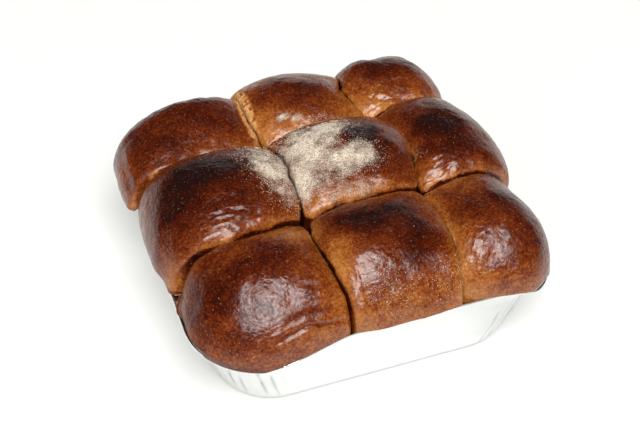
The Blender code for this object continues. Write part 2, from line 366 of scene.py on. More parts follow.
def wallOutline(height):
    # half width and corner radius of the pan's wall, on straight lines from its base to its top
    rise = height / pan["depth"]
    return (pan["baseHalf"] + (pan["wallHalf"] - pan["baseHalf"]) * rise,
            pan["baseRadius"] + (pan["wallRadius"] - pan["baseRadius"]) * rise)


def keepInPan(x, y, half, radius):
    # points outside a rounded square move straight in to its outline
    overX = np.abs(x) - (half - radius)
    overY = np.abs(y) - (half - radius)
    corner = (overX > 0) & (overY > 0)
    shrink = np.minimum(radius / np.maximum(np.hypot(overX, overY), 1e-9), 1.0)
    newX = np.where(corner, overX * shrink, np.minimum(overX, radius))
    newY = np.where(corner, overY * shrink, np.minimum(overY, radius))
    return np.sign(x) * (half - radius + newX), np.sign(y) * (half - radius + newY)


def flangeLift(x, y):
    # how far the flange is bent up, in radians, in the direction of each point
    start, up, down, end = pan["liftSpan"]
    direction = np.degrees(np.arctan2(y, x))
    return math.radians(pan["lift"]) * smoothStep(start, up, direction) * smoothStep(end, down, direction)


def behindFlange(x, y, height):
    # points below the top of the bent-up flange stay on its inner side
    lift = np.maximum(flangeLift(x, y), 1e-6)
    rise = height - pan["depth"]
    top = (pan["rimHalf"] - pan["wallHalf"] + 2 * pan["foil"]) * np.sin(lift) + 2 * loaf["gap"]
    inner = pan["wallHalf"] - pan["foil"] - 2 * loaf["gap"] + rise / np.tan(lift)
    half = inner + 9 * mm * smoothStep(0, 2.5 * mm, rise - top)
    return keepInPan(x, y, half, half - pan["wallHalf"] + pan["wallRadius"])


def domeGrid(row, column, crown, girth, roll):
    # a polar surface: height falls from the crown by a cosine while the reach grows by a sine, and
    # the reach is the softer of the dome's own outline and the distance to the seams around it
    left, right = (-loaf["half"], *loaf["seamX"], loaf["half"])[column:column + 2]
    front, back = (-loaf["half"], *loaf["seamY"], loaf["half"])[row:row + 2]
    centreX, halfX = (left + right) / 2, (right - left) / 2
    centreY, halfY = (front + back) / 2, (back - front) / 2
    even = np.arange(loaf["raysPerSide"]) / loaf["raysPerSide"] * 2 - 1
    ones = np.ones_like(even)
    sideX = np.concatenate((ones, -even, -ones, even)) * halfX
    sideY = np.concatenate((even, ones, -even, -ones)) * halfY
    length = np.hypot(sideX, sideY)
    rayX, rayY = sideX / length, sideY / length

    toward = np.maximum(np.array((-rayX, rayX, -rayY, rayY)), 1e-9)
    seamed = np.array((column > 0, column < 2, row > 0, row < 2))
    toSide = np.array((halfX, halfX, halfY, halfY))
    out = np.array((loaf["leftReach"][row], loaf["rightReach"][row],
                    loaf["frontReach"][column], loaf["backReach"][column])) * mm
    natural = np.where(seamed, toSide * loaf["swell"], toSide + out)[:, None]
    wallSide = (toward / (toSide[:, None] - loaf["gap"] / 2)) ** loaf["seamSquare"]
    boxed = wallSide.sum(axis=0) ** (-1 / loaf["seamSquare"])
    toSeam = np.maximum((wallSide * seamed[:, None]).sum(axis=0), 1e-30) ** (-1 / loaf["seamSquare"])

    sideSeam = np.where(rayX > 0, seamed[1], seamed[0])
    endSeam = np.where(rayY > 0, seamed[3], seamed[2])
    outerSquare = np.where(sideSeam | endSeam, roll["edge"], roll["corner"])
    girthSquare = np.where(sideSeam & endSeam, loaf["innerSquare"], outerSquare)

    def naturalReach(square):
        # the dome's own outline: a superellipse with a half width of its own to each side
        return ((toward[:, None] / natural[:, :, None]) ** square).sum(axis=0) ** (-1 / square)

    # rows are close together down to the crease where a seam cuts the dome, and few below it
    apart = naturalReach(2 + 0.7 * (girthSquare - 2)[None])[0]
    crease = np.arcsin(np.clip(toSeam / apart, 0, 1) ** (1 / loaf["domePower"])) / (math.pi / 2)
    bendAt = np.minimum(crease * 1.05, 0.8)
    share = (np.arange(loaf["domeRows"])[:, None] + 1) / loaf["domeRows"]
    above, below = share * bendAt / 0.8, bendAt + (share - 0.8) / 0.2 * (1 - bendAt)
    fall = np.where(share < 0.8, above, below) * math.pi / 2
    square = 2.0 + (girthSquare - 2.0) * np.sin(fall)
    dome = naturalReach(square) * np.sin(fall) ** loaf["domePower"]
    soft = loaf["creaseSoft"]
    reach = (dome ** -soft + toSeam ** -soft) ** (-1 / soft)
    height = girth + (crown - girth) * np.maximum(np.cos(fall), 0) ** loaf["domePower"]

    def spread(distance, limit=None):
        # distances along the rays as plan points, bent with the seams and kept in an outline
        x, y = centreX + distance * rayX, centreY + distance * rayY
        if limit:
            return keepInPan(*bendSeams(*keepInPan(x, y, *limit)), *limit)
        return bendSeams(x, y)

    domeX, domeY = behindFlange(*spread(reach), height)
    domePoints = np.stack((domeX, domeY, height), -1)

    # under the girth the lip curls back in to the flange, then the sides run down inside the pan
    shelf = pan["depth"] + 2 * loaf["gap"]
    mouth = (pan["wallHalf"] - pan["foil"] - 2 * loaf["gap"], pan["wallRadius"] - pan["foil"])
    # in some directions the lip hangs over the flange's edge
    direction = np.degrees(np.arctan2(centreY + reach[-1] * rayY, centreX + reach[-1] * rayX))
    hang = sum(smoothStep(start, full, direction) * smoothStep(end, ease, direction)
               for start, full, ease, end in loaf["hangSpans"])
    lie = loaf["overlap"] + (loaf["hang"] - loaf["overlap"]) * hang
    tuckX, tuckY = spread(np.minimum(reach[-1], boxed) + 3 * mm * hang, (mouth[0] + lie, mouth[1] + lie))
    turn = (np.arange(loaf["lipRows"])[:, None] + 1) / loaf["lipRows"] * math.pi / 2
    lipHeight = girth + (shelf + 1.5 * mm * hang - girth) * np.sin(turn) ** 2 + 0 * tuckX
    lipX, lipY = behindFlange(tuckX + (domeX[-1] - tuckX) * np.cos(turn),
                              tuckY + (domeY[-1] - tuckY) * np.cos(turn), lipHeight)
    lipPoints = np.stack((lipX, lipY, lipHeight), -1)
    x, y = spread(np.minimum(reach[-1], boxed), mouth)
    wallRows = [np.stack((x, y, np.full_like(x, shelf)), -1)]
    for step in range(loaf["wallRows"] + 1):
        low = max(0.96 * (1 - step / loaf["wallRows"]) * pan["depth"], pan["foil"] + loaf["gap"])
        foot = pan["foot"] if step == loaf["wallRows"] else 0.0
        half, radius = wallOutline(low)
        x, y = spread(boxed, (half - foot - pan["foil"] - 2 * loaf["gap"], radius - foot - pan["foil"]))
        wallRows.append(np.stack((x, y, np.full_like(x, low)), -1))
    points = np.concatenate((domePoints, lipPoints, np.array(wallRows)))

    # under the dome the distance to the seams stays the same and the fall is complete
    below = ((0, len(points) - loaf["domeRows"]), (0, 0))
    fromSeam = np.pad(np.minimum(toSeam, 0.2) - reach, below, "edge")
    fallShare = np.pad(fall / (math.pi / 2), below, constant_values=1)
    # how far the surface has gone down below its crease, where a seam cuts it
    creaseHeight = girth + (crown - girth) * np.cos(crease * math.pi / 2) ** loaf["domePower"]
    sunk = np.maximum(creaseHeight - points[..., 2], 0) * (fromSeam < 1.5 * mm)
    centre = np.stack(bendSeams(np.array([centreX]), np.array([centreY])), -1)[0]
    return points, fromSeam, fallShare, sunk, np.array((*centre, crown))


def turnedPlan(x, y, degrees):
    # plan coordinates along and across a direction that many degrees from the x axis
    c, s = math.cos(math.radians(degrees)), math.sin(math.radians(degrees))
    return x * c + y * s, y * c - x * s


def spotField(points, spots):
    # the strongest of several soft ovals on the plan: (x, y, half length, half width, turn, amount)
    total = np.zeros(points.shape[:-1])
    for x, y, length, width, turn, amount in spots:
        along, across = turnedPlan(points[..., 0] - x * mm, points[..., 1] - y * mm, turn)
        away = (along / (length * mm)) ** 2 + (across / (width * mm)) ** 2
        total = np.maximum(total, amount * np.exp(-away ** 1.3))
    return total


def foldField(points, normals, folds):
    # thin creases along straight lines near the skin: a narrow dip with a low swell on both sides
    depth = np.zeros(points.shape[:-1])
    for start, end, width, amount in folds:
        start, end = np.array(start) * mm, np.array(end) * mm
        along = np.clip(((points - start) @ (end - start)) / ((end - start) @ (end - start)), 0, 1)
        wander = 0.8 * mm * softNoise(points, 5 * mm, 5.5)
        away = points - start - along[..., None] * (end - start)
        near = smoothStep(10 * mm, 6 * mm, np.linalg.norm(away, axis=-1))
        away = away - normals * (away * normals).sum(axis=-1, keepdims=True)
        gap = np.linalg.norm(away, axis=-1) + wander
        taper = near * np.clip(4 * along * (1 - along), 0, 1) ** 0.5
        share = gap / (width * mm)
        depth += amount * mm * taper * (np.exp(-share ** 2) - 0.45 * np.exp(-(share - 2.2) ** 2))
    return depth


# Every roll, in rows from the front left. Its crown is the top of its node.
# raised, droops (in mm), char, pale, flour and unglazed are spots as in spotField; puckers are too
# lean: how far the crown leans, in mm; girth: height of the widest place, in mm
# edge, corner: how square the outer quarters are at the girth; bake: how brown the roll is
# swells: (x, y, z, size, mm outwards); folds: (start, end, width, depth) in mm
rolls = {
    "roll_front_left": {
        "lean": (6, 3), "raised": ((-82, -36, 22, 14, 0, 3.0),),
        "unglazed": ((-98, -64, 14, 32, 0, 0.75), (-33, -76, 9, 15, 0, 0.55)),
        "girth": 50.0, "edge": 2.2, "corner": 1.95, "bake": 0.54, "seed": 1.7,
        "char": ((-90, -66, 16, 20, 10, 0.18), (-66, -62, 22, 8, 5, 0.10), (-82, -92, 22, 9, 0, 0.13)),
        "pale": ((-38, -46, 13, 9, -8, 0.26), (-32, -70, 8, 24, 0, 0.12), (-74, -54, 14, 8, 0, 0.10)),
        "folds": (((-67, -99, 62), (-43, -96, 67), 1.3, 0.5), ((-50, -97, 66), (-27, -93, 60), 1.0, 0.6),
                  ((-58, -95, 72), (-26, -92, 69), 1.6, 0.32), ((-61, -99, 62), (-61, -101, 51), 0.5, 0.7)),
        "puckers": ((-34, -84, 14, 7, 0, 0.45),),
    },
    "roll_front_middle": {
        "lean": (-8, 4), "swells": ((-8, -76, 79, 15, 1.5),), "unglazed": ((26, -80, 14, 14, 0, 0.55),),
        "girth": 53.0, "edge": 4.5, "corner": 2.0, "bake": 0.475, "seed": 5.2,
        "char": ((5, -50, 23, 12, 4, 0.38), (20, -68, 14, 18, 0, 0.26)),
        "pale": ((-22, -68, 7, 24, 0, 0.16),),
        "flour": ((-2, -89, 13, 11, 0, 0.46), (28, -90, 18, 7, 0, 0.34)),
        "folds": (((-12, -70, 84), (4, -78, 79), 1.4, 0.10),),
    },
    "roll_front_right": {
        "lean": (-5, -1), "swells": ((92, -58, 66, 24, 2.6),),
        "girth": 52.5, "edge": 2.1, "corner": 2.05, "bake": 0.50, "seed": 9.9,
        "char": ((80, -56, 15, 14, -25, 0.22), (84, -76, 10, 16, 0, 0.16), (64, -56, 22, 12, 0, 0.09)),
        "pale": ((43, -68, 9, 24, 0, 0.14),), "puckers": ((46, -74, 11, 13, 0, 0.42),),
    },
    "roll_middle_left": {
        "girth": 50.5, "edge": 2.8, "corner": 2.0, "bake": 0.57, "seed": 13.4,
        "char": ((-72, 8, 24, 14, 4, 0.40), (-90, -8, 15, 20, 0, 0.24)),
        "flour": ((-34, 4, 14, 27, 6, 0.95), (-32, -14, 9, 15, 0, 0.78)),
        "puckers": ((-62, -26, 26, 9, 0, 0.5),),
    },
    "roll_centre": {
        "girth": 50.5, "edge": 3.6, "corner": 2.0, "bake": 0.55, "seed": 17.8,
        "char": ((20, 9, 11, 12, -30, 0.40), (30, -6, 14, 16, 0, 0.16)),
        "pale": ((-10, -26, 20, 6, 0, 0.10), (33, -8, 8, 14, 0, 0.10)),
        "flour": ((-10, 10, 21, 27, 0, 1.05), (3, 21, 16, 13, 0, 1.0), (11, -7, 15, 12, 0, 1.0),
                  (-9, -18, 16, 10, 0, 0.8), (-22, -10, 9, 20, 0, 0.95), (0, -9, 20, 15, 0, 0.85),
                  (0, -26, 24, 6, 0, 0.7)),
    },
    "roll_middle_right": {
        "swells": ((97, -8, 62, 30, 2.4),), "lean": (-3, -2), "raised": ((90, 22, 14, 16, 0, -6.0),),
        "girth": 50.5, "edge": 2.1, "corner": 2.0, "bake": 0.58, "seed": 21.1,
        "char": ((68, 9, 17, 12, -14, 0.30), (68, -12, 22, 12, -10, 0.16)),
        "pale": ((52, -22, 12, 10, 0, 0.20),), "flour": ((51, -6, 4, 6, 0, 0.3),),
        "puckers": ((54, -20, 12, 9, 20, 0.6),),
    },
    "roll_back_left": {
        "raised": ((-56, 76, 26, 22, 0, 3.4),), "swells": ((-101, 52, 62, 13, 2.6),),
        "droops": ((-108, 42, 14, 16, 0, 3.2),),
        "girth": 50.5, "edge": 4.5, "corner": 2.05, "bake": 0.58, "seed": 25.6,
        "char": ((-72, 68, 32, 15, 0, 0.11), (-82, 44, 16, 12, 0, 0.12)),
        "pale": ((-48, 42, 18, 8, 0, 0.04),),
    },
    "roll_back_middle": {
        "lean": (-4, -1), "raised": ((20, 78, 15, 20, 0, -5.5),),
        "girth": 50.5, "edge": 2.1, "corner": 2.0, "bake": 0.435, "seed": 29.3,
        "char": ((0, 68, 22, 13, 0, 0.20),), "pale": ((-22, 46, 10, 12, 0, 0.12),),
        "flour": ((-13, 47, 6, 3, 10, 0.95), (-5, 45, 5, 3, 20, 0.95), (6, 43, 9, 3, 0, 0.55)),
    },
    "roll_back_right": {
        "raised": ((46, 86, 11, 18, 0, 4.5), (78, 86, 10, 14, 0, -4.0)),
        "swells": ((98, 66, 66, 14, 2.0),),
        "girth": 50.5, "edge": 2.4, "corner": 2.05, "bake": 0.49, "seed": 33.0,
        "char": ((60, 75, 22, 13, 0, 0.17),), "pale": ((46, 50, 14, 10, 0, 0.14),),
        "folds": (((48, 52, 76), (60, 48, 74), 1.2, 0.5),), "puckers": ((44, 50, 14, 9, 30, 0.6),),
    },
}
plainRoll = {"lean": (0, 0), "raised": (), "swells": (), "droops": (), "unglazed": (),
             "pale": (), "flour": (), "folds": (), "puckers": ()}
# heights and sizes of the relief on every roll
relief = {
    "lump": 0.8 * mm, "lumpSize": 24 * mm,  # broad unevenness of the dome
    "swell": 0.25 * mm, "swellSize": 8 * mm,  # smaller undulation
    "leather": 0.11 * mm, "leatherSize": 3.4 * mm,  # the skin's own creases
    "skin": 0.06 * mm, "skinSize": 2.0 * mm,  # bran under the crust
    "wrinkle": 0.30 * mm, "wrinkleReach": 8 * mm,  # stretch wrinkles that run in from the seams
    "crack": 0.55 * mm, "crackSize": 11 * mm,  # how far the walls of a seam stand apart
    "pore": 1.0 * mm, "poreSize": 1.9 * mm,  # holes in the torn crumb at a seam
    "tornReach": 1.3 * mm, "tornSize": 7 * mm,  # how far from a seam and how long its torn places are
    "rippleSize": 2.8 * mm, "puckerSize": 3.4 * mm,
    "seamShadeStart": 1.2 * mm, "seamShadeFull": 3.4 * mm,  # how far down in a seam the painted shade begins and grows full
}
# how much browner (or paler) than its own bake a place on a roll is; the darkening in the seams, in the
# folds' creases and in the crumb's pores is painted shade, and under the girth it is partly painted shade
baking = {
    "crown": 0.14, "foot": 0.08,
    "clouds": 0.075, "cloudSize": 15 * mm,
    "mottle": 0.045, "mottleSize": 5 * mm,
    "seamPale": 0.17, "seamVary": 0.16, "seamVarySize": 14 * mm, "seamReach": 6.5 * mm,
    "crumbPale": 0.85, "poreShade": 0.45,
    "under": 0.12, "line": 0.5, "fold": 0.12, "foldDepth": 0.6 * mm,
    # how uneven the spots of each kind are, the size of that in mm and the shift of its noise
    "uneven": {"char": (0.3, 8, 33), "pale": (0.25, 7, 35), "flour": (0.25, 6, 40)},
}


def creases(points, size, shift):
    # ridges where a warped noise crosses zero: 1 on the crest, falling away on both sides
    warp = np.stack([softNoise(points, size * 3.5, shift + k) for k in (1.3, 4.9, 8.2)], -1)
    value = layeredNoise((points + warp * size * 1.6) * (1.0, 1.0, 1.5), size, 2, shift)
    return 1 - np.minimum(np.abs(value) * 2.2, 1)


def makeRoll(node, row, column):
    # the dome, then its own lean, rises, swells and droops, then relief, then browning and flour
    roll = {**plainRoll, **rolls[node]}
    low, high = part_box(node)
    girth, seed, domeRows = roll["girth"] * mm, roll["seed"], loaf["domeRows"]
    points, fromSeam, fallShare, sunk, crownPoint = domeGrid(row, column, high[2], girth, roll)
    normals = surfaceNormals(points)
    leanShare = smoothStep(0, 24 * mm, fromSeam) * np.cos(fallShare * math.pi / 2)
    points[..., :2] += leanShare[..., None] * np.array(roll["lean"]) * mm
    above = smoothStep(girth, girth + 20 * mm, points[..., 2])
    points[..., 2] += spotField(points, roll["raised"]) * mm * above
    # swells stay above the flange and clear of the seams
    overFlange = smoothStep(pan["depth"] + 1 * mm, pan["depth"] + 6 * mm, points[..., 2])
    free = smoothStep(0, 6 * mm, fromSeam) * overFlange
    for *place, size, amount in roll["swells"]:
        near = np.exp(-(np.linalg.norm(points - np.array(place) * mm, axis=-1) / (size * mm)) ** 2)
        points = points + normals * (amount * mm * near * free)[..., None]
    outside = smoothStep(102.8 * mm, 106 * mm, np.abs(points[..., :2]).max(axis=-1))
    points[..., 2] -= spotField(points, roll["droops"]) * mm * outside
    normals = surfaceNormals(points)
    top = np.zeros(points.shape[:-1])
    top[:domeRows + loaf["lipRows"] // 2] = 1

    def besideSeam(reach):
        # 1 at a seam, falling away exponentially with the distance from it
        return np.exp(-np.maximum(fromSeam, 0) / reach)

    beside = besideSeam(relief["tornReach"]) * (fromSeam < 0.1)
    clear = smoothStep(0.2 * mm, 5 * mm, fromSeam) * top

    # relief along the normal: lumps, swells and skin, which die out where a neighbour touches
    move = relief["lump"] * layeredNoise(points, relief["lumpSize"], 2, seed)
    move += relief["swell"] * layeredNoise(points, relief["swellSize"], 2, seed + 3)
    move += relief["leather"] * creases(points, relief["leatherSize"], seed + 4)
    move += relief["skin"] * layeredNoise(points, relief["skinSize"], 2, seed + 5)
    fold = foldField(points, normals, roll["folds"])
    move = (move - fold) * clear

    # the two walls of a seam part in some places and touch in others, the same on both sides
    flat = points * (1.0, 1.0, 0.0)
    parted = smoothStep(-0.25, 0.45, layeredNoise(flat, relief["crackSize"], 2, 40.5))
    move -= relief["crack"] * parted * beside * top
    edgeFade = smoothStep(100 * mm, 86 * mm, np.abs(points[..., :2]).max(axis=-1))
    # down in a seam painted shade begins as a dark line, in some places sooner than in others
    sooner = mm * spotField(points, loaf["seamShadeSpots"]) * (sunk > 0.1 * mm)
    sunk = sunk + 1.6 * mm * (parted - 0.5) + sooner
    strip = spotField(points, (loaf["tornStrip"],)) * (node in ("roll_back_left", "roll_back_middle"))
    unlined = 0.75 * np.minimum(strip * 1.5, 1)
    line = smoothStep(relief["seamShadeStart"], relief["seamShadeFull"], sunk) * edgeFade * top * (1 - unlined)

    # wrinkles lift and drop the crust beside a seam and in the puckers
    nearSeam = besideSeam(relief["wrinkleReach"]) * (fromSeam > 0) * top
    ripple = layeredNoise(points * (1.0, 1.0, 0.3), relief["rippleSize"], 2, seed + 9)
    drop = relief["wrinkle"] * nearSeam * ripple
    for x, y, length, width, turn, amount in roll["puckers"]:
        turned = np.stack((*turnedPlan(points[..., 0], points[..., 1], turn), points[..., 2]), -1)
        pleat = layeredNoise(turned * (0.35, 1.0, 0.8), relief["puckerSize"], 2, seed + 12)
        pleat = 1 - 2 * np.abs(pleat)
        drop += amount * mm * spotField(points, ((x, y, length, width, turn, 1.0),)) * pleat

    # torn crumb shows in patches along the seams and in the torn strip
    torn = smoothStep(0.15, 0.6, softNoise(flat, relief["tornSize"], 61.2))
    crumb = beside * torn * 0.85
    crumb = np.maximum(crumb, smoothStep(0.30, 0.75, strip))
    pores = smoothStep(0.15, 0.6, softNoise(points, relief["poreSize"], seed + 20))
    drop -= relief["pore"] * pores * crumb * top

    points = points + normals * move[..., None]
    points[..., 2] += drop * smoothStep(-0.1, 0.5, normals[..., 2])

    def uneven(kind):
        # the roll's own spots of a kind, clouded by a noise
        amount, size, shift = baking["uneven"][kind]
        clouds = 1 + amount * layeredNoise(points, size * mm, 3, seed + shift)
        return spotField(points, roll[kind]) * clouds

    # browning: the crown is darkest, the sides paler, and beside a seam the crust is orange-brown
    height = (points[..., 2] - girth) / (high[2] - girth)
    brown = roll["bake"] + baking["crown"] * smoothStep(0.3, 1.0, height)
    brown -= baking["foot"] * smoothStep(0.35, -0.1, height)
    brown += baking["clouds"] * layeredNoise(points, baking["cloudSize"], 3, seed + 30)
    brown += baking["mottle"] * layeredNoise(points, baking["mottleSize"], 3, seed + 31)
    brown += uneven("char")
    brown -= uneven("pale")
    seamPale = baking["seamPale"] + baking["seamVary"] * softNoise(flat, baking["seamVarySize"], 37.7)
    brown -= seamPale * besideSeam(baking["seamReach"]) * top
    # torn crumb is paler, and painted shade darkens its pores
    brown = brown * (1 - baking["crumbPale"] * crumb) + baking["poreShade"] * pores * crumb
    # below the girth the crust is darker, partly crust baked against the foil and partly painted shade
    # where the lip curls under; the seams' depths add painted shade
    under = np.zeros_like(brown)
    under[domeRows:] = np.minimum(np.arange(len(points) - domeRows) / 8, 1)[:, None]
    brown += baking["under"] * under + baking["line"] * line
    # painted shade darkens the folds' creases
    brown += baking["fold"] * np.clip(fold / baking["foldDepth"], 0, 1)
    flour = uneven("flour")
    glaze = 1 - spotField(points, roll["unglazed"])

    count = points.shape[1]
    apex = crownPoint + np.array((0, 0, move[0].mean()))
    foot = np.array((*points[-1, :, :2].mean(axis=0), points[-1, 0, 2]))
    vertices = np.concatenate((apex[None], points.reshape(-1, 3), foot[None]))

    def padded(values):
        # with a mean value for the apex and one for the foot
        return np.concatenate(([values[0].mean()], values.ravel(), [values[-1].mean()]))

    first, *others = node.split("_")
    name = first + "".join(word.capitalize() for word in others)
    fields = {"browning": brown, "flour": flour, "crumb": crumb, "glaze": glaze}
    fields = {key: padded(values) for key, values in fields.items()}
    piece = buildPiece(name, vertices, ringFaces(len(points), count), crustMaterial, fields)
    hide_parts(node)
    over = float(np.max((np.array(low) - vertices.min(axis=0), vertices.max(axis=0) - np.array(high))))
    print(f"{name}: {len(vertices)} points, {over / mm:.2f} mm outside its node")
    return points, normals, flour


surfaces = [makeRoll(node, *divmod(place, 3)) for place, node in enumerate(rolls)]


# Flour and bran that lie on the crust
dust = {
    "seed": 4,
    # each kind: how many, shortest and longest in mm, how slim, where it lies
    "kinds": (
        (7000, 0.4, 1.3, 0.26, "flour"),  # strands of bran and clotted flour
        (5200, 0.2, 0.6, 0.75, "flour"),  # grains
        (280, 0.3, 0.9, 0.6, "all"),  # single specks over the whole loaf
    ),
    "thickness": 0.16 * mm,
    "pale": (0.78, 0.72, 0.62),
    "tan": (0.46, 0.34, 0.21),
    "roughness": 0.9,
}


def makeFlourMaterial():
    # two matt colours mixed by a fine noise
    material, tree, shader = newMaterial("flourDust")
    tint = rangeNode(tree, noiseNode(tree, 700.0, 3.0), 0.35, 0.65, 0, 1)
    colour = mixColours(tree, tint, dust["pale"], dust["tan"])
    fillInputs(tree, shader, {"Base Color": colour, "Roughness": dust["roughness"]})
    return material


def scatterFlakes():
    # flakes fall by the area of a place times its flour, or by its area alone for stray specks; each
    # is an uneven octahedron on three axes, the normal and two directions in the surface
    draw = np.random.default_rng(dust["seed"])
    parts, flakes = [], []
    rows = slice(2, loaf["domeRows"])
    for points, normals, flour in surfaces:
        dome = points[rows]
        across = np.roll(dome, -1, axis=1) - dome
        down = np.gradient(dome, axis=0)
        area = np.linalg.norm(np.cross(down, across), axis=-1)
        seen = smoothStep(0.1, 0.5, normals[rows, :, 2])
        clotted = smoothStep(-0.9, 0.6, layeredNoise(dome, 2.6 * mm, 2, 77.0))
        floured = np.clip(flour[rows], 0, 1) ** 1.4
        parts.append((dome.reshape(-1, 3), normals[rows].reshape(-1, 3),
                      (area * seen * clotted * floured).ravel(), (area * seen).ravel()))
    allPoints, allNormals, floury, stray = (np.concatenate(part) for part in zip(*parts))
    weights = {"flour": floury, "all": stray}
    for number, shortest, longest, slim, place in dust["kinds"]:
        weight = weights[place]
        pick = draw.choice(len(weight), number, p=weight / weight.sum())
        size = (shortest + (longest - shortest) * draw.random(number) ** 2.0) * mm
        flakes.append((pick, size, np.full(number, slim)))
    pick, size, slim = (np.concatenate(part) for part in zip(*flakes))
    normal = allNormals[pick]
    side = np.cross(normal, draw.normal(size=normal.shape))
    side /= np.linalg.norm(side, axis=1, keepdims=True)
    other = np.cross(normal, side)
    tilt = 0.22 * draw.normal(size=(len(pick), 1))
    side, normal = side + normal * tilt, normal - side * tilt
    aside = side * draw.uniform(-0.4, 0.4, (len(pick), 1))
    spread = (aside + other * draw.uniform(-0.4, 0.4, (len(pick), 1))) * mm
    centre = allPoints[pick] + spread + normal * 0.08 * mm
    reach = 0.5 + 0.5 * draw.random((len(pick), 6))
    thick = np.minimum(size * 0.3, dust["thickness"])[:, None]
    long, wide = size[:, None] / 2, (size * slim)[:, None] / 2
    ends = (side * long, -side * long, other * wide, -other * wide, normal * thick, -normal * thick)
    corners = centre[:, None] + np.stack(ends, 1) * reach[..., None]
    upper = ((0, 2, 4), (2, 1, 4), (1, 3, 4), (3, 0, 4))
    lower = ((2, 0, 5), (1, 2, 5), (3, 1, 5), (0, 3, 5))
    facePattern = np.array(upper + lower)
    faces = (facePattern[None] + 6 * np.arange(len(pick))[:, None, None]).reshape(-1, 3)
    material = makeFlourMaterial()
    piece = buildPiece("flourDust", corners.reshape(-1, 3), faces.tolist(), material)
    piece.data.shade_flat()
    print(f"flour: {len(pick)} flakes")


scatterFlakes()


def makeFoil():
    # bare metal whose colour clouds slowly, with painted shade in the valleys between the flutes, round the
    # foot and on one corner
    material, tree, shader = newMaterial("foil")
    cloud = rangeNode(tree, noiseNode(tree, 70.0, 3.0), 0.3, 0.7, 0, 1)
    colour = mixColours(tree, cloud, pan["colour"], pan["cloudColour"])
    colour = mixColours(tree, fieldNode(tree, "paintedFoilShade"), colour, pan["fluteShadeColour"])
    scuff = noiseNode(tree, 900.0, 3.0, 0.6, (1.0, 1.0, 0.15))
    smoothest, roughest = (pan["roughness"] + change for change in pan["scuff"])
    rough = rangeNode(tree, scuff, 0.3, 0.7, smoothest, roughest)
    normal = bumpNode(tree, noiseNode(tree, 120.0, 1.5, 0.5), 0.25, pan["crinkle"])
    fillInputs(tree, shader, {"Base Color": colour, "Roughness": rough, "Normal": normal, "Metallic": 1.0})
    return material


def panSection():
    # the foil's section, outside and then back inside: each station is (half width, corner radius,
    # height, flute) for the base and wall, followed by (along, above) for what turns with the flange
    foil, foot, depth = pan["foil"], pan["foot"], pan["depth"]
    width = pan["rimHalf"] - pan["wallHalf"] + foil
    hinge = (pan["wallHalf"] - foil, pan["wallRadius"] - foil, depth, 0.0)
    bend = 1.6 * mm

    def wall(height, inset=0.0):
        # the wall's outline, moved in by an inset
        half, radius = wallOutline(height)
        return half - inset, radius - inset

    def side(thick):
        # one face of the foil, from the middle of the base to the flange; thick is 0 outside and the
        # foil's thickness inside
        stations = [(*(part * share - thick * share for part in wall(0)), thick, 0, 0, 0)
                    for share in (0.02, 0.3, 0.6, 0.85)]
        # the base turns up a little towards the foot, so that a thin gap runs round under it
        gap = pan["footGap"]
        for turn in np.linspace(0, math.pi / 2, 7):
            inset = (foot - thick) * (1 - math.sin(turn)) + thick
            height = thick + gap + (foot - thick - gap) * (1 - math.cos(turn))
            stations.append((*wall(height, inset), height, 0.3 * math.sin(turn), 0, 0))
        for height in np.linspace(foot, depth - foil - bend, 24)[1:]:
            grow = 0.3 + 0.7 * min(1.0, (height - foot) / (0.4 * depth))
            stations.append((*wall(height, thick), height, grow, 0, 0))
        # the bend at the top of the wall is a curve pulled towards the corner, with weights for the
        # wall's end, the corner and the flange's start
        corner = depth if thick else depth - foil
        above = 0.0 if thick else -foil
        for share in np.linspace(0, 1, 7)[1:]:
            first, second, third = (1 - share) ** 2, 2 * share * (1 - share), share ** 2
            below = wall(depth - foil - bend, thick)
            at = wall(corner, thick)
            stations.append((
                below[0] * first + at[0] * second + hinge[0] * third,
                below[1] * first + at[1] * second + hinge[1] * third,
                (depth - foil - bend) * first + corner * second + depth * third,
                1 - 0.7 * share, bend * third, above * third,
            ))
        for share in (0.4, 0.65, 0.85):
            stations.append((*hinge[:3], 0.3 * (1 - share), width * share, above))
        return stations

    outer, inner = side(0.0), side(foil)
    rim = []
    tall = pan["edgeHeight"] + foil
    for turn in np.linspace(-math.pi / 2, math.pi / 2, 9):
        climb = -foil + tall * (0.5 + 0.5 * math.sin(turn))
        rim.append((*hinge, width - 0.3 * mm + 0.8 * mm * math.cos(turn), climb))
    rim.append((*hinge, width - 0.7 * mm, pan["edgeHeight"] - 0.5 * mm))
    rim.append((*hinge, width - 0.9 * mm, 0.0))
    return outer + rim + inner[::-1]


